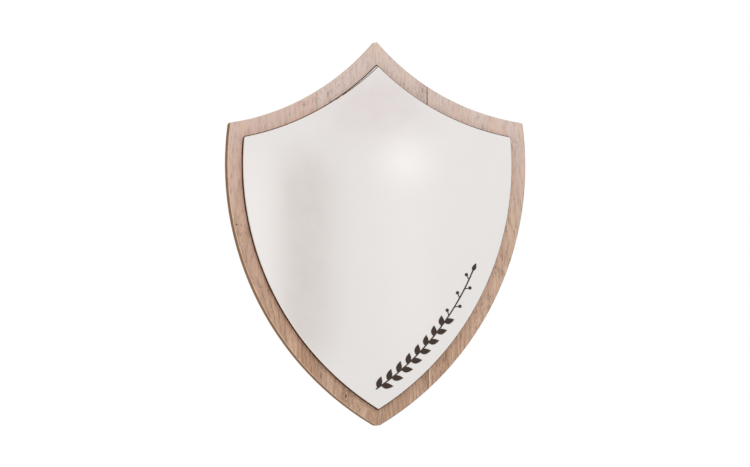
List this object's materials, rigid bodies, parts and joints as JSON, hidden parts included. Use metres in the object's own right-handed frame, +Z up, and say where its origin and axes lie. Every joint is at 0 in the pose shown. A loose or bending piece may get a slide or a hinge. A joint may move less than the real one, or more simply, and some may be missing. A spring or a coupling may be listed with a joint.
{
  "type": "wooden wall plaque",
  "caption": "Heater-shield wall plaque: a wooden board with a raised pale glossy panel, a dark leafy sprig, and swinging D-ring hangers and rubber bumpers on its back.",
  "frame": {"origin": "middle of the board's flat back face, half way between the apex and the tip", "axes": "+X to the right seen from the front, the front faces -Y and the back +Y, +Z up towards the apex"},
  "size_m": [0.3, 0.0298, 0.3804],
  "materials": {
    "plank_wood": "weathered, dry matt, vertical grain, browner edges",
    "spline_wood": "bare, unfinished",
    "stained_backer": "dark-stained edge, pale bare face",
    "adhesive": "soft film, matt",
    "pearl_enamel": "off-white pearl enamel, high gloss, bright bevel",
    "dark_inlay": "dark brown, satin",
    "plated_steel": "bright zinc plate",
    "rubber": "matt black"
  },
  "bodies": {
    "board": {"stave_left": "plank_wood", "stave_centre": "plank_wood", "stave_right": "plank_wood", "spline_left": "spline_wood", "spline_right": "spline_wood", "panel_backer": "stained_backer", "adhesive_strip_1": "adhesive", "adhesive_strip_2": "adhesive", "adhesive_strip_3": "adhesive", "adhesive_strip_4": "adhesive", "face_sheet": "pearl_enamel", "sprig_inlay": "dark_inlay", "backer_screw_1": "plated_steel", "backer_screw_2": "plated_steel", "backer_screw_3": "plated_steel", "backer_screw_4": "plated_steel", "hanger_strap_left": "plated_steel", "hanger_strap_right": "plated_steel", "hanger_screw_left_1": "plated_steel", "hanger_screw_left_2": "plated_steel", "hanger_screw_right_1": "plated_steel", "hanger_screw_right_2": "plated_steel", "bumper_1": "rubber", "bumper_2": "rubber", "bumper_3": "rubber", "bumper_4": "rubber"},
    "ring_left": {"d_ring_left": "plated_steel"},
    "ring_right": {"d_ring_right": "plated_steel"}
  },
  "joints": [
    {"name": "ring_left_swing", "type": "hinge", "parent": "board", "child": "ring_left", "pos_m": [-0.084, 0.0027, 0.09047], "axis": [1, 0, 0], "range_deg": [0, 178]},
    {"name": "ring_right_swing", "type": "hinge", "parent": "board", "child": "ring_right", "pos_m": [0.084, 0.0027, 0.09047], "axis": [1, 0, 0], "range_deg": [0, 178]}
  ]
}
